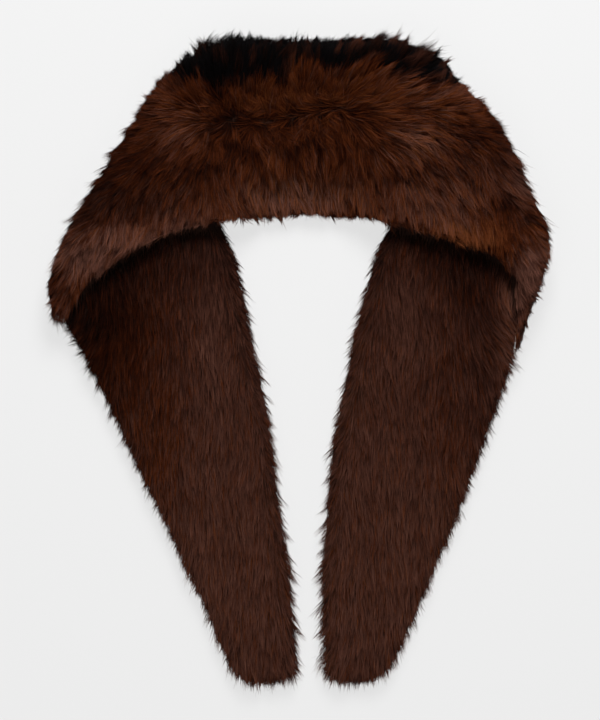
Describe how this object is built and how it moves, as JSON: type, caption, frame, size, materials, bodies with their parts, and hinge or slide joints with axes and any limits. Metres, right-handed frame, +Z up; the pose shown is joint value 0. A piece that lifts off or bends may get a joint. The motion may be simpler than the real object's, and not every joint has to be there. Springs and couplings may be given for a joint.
{
  "type": "fur collar wrap",
  "caption": "Long tapering fur strip laid flat in an arch, its outer edge turned over as a deep collar above two blunt-ended tails.",
  "frame": {"origin": "centre of the wrap's box, on the surface it lies on", "axes": "+Y from the tail ends to the back of the neck, +X to the picture's right, +Z up from the surface"},
  "size_m": [0.5026, 0.6492, 0.062],
  "materials": {
    "inner_fur": "short dense brown fur",
    "outer_fur": "long glossy brown fur",
    "black_fur": "long glossy black fur"
  },
  "bodies": {
    "root": {"tail_left": "inner_fur", "tail_right": "inner_fur", "under_collar": "inner_fur", "fall_left": "outer_fur", "fall_centre": "outer_fur", "fall_right": "outer_fur", "crown_band": "black_fur"}
  },
  "joints": []
}
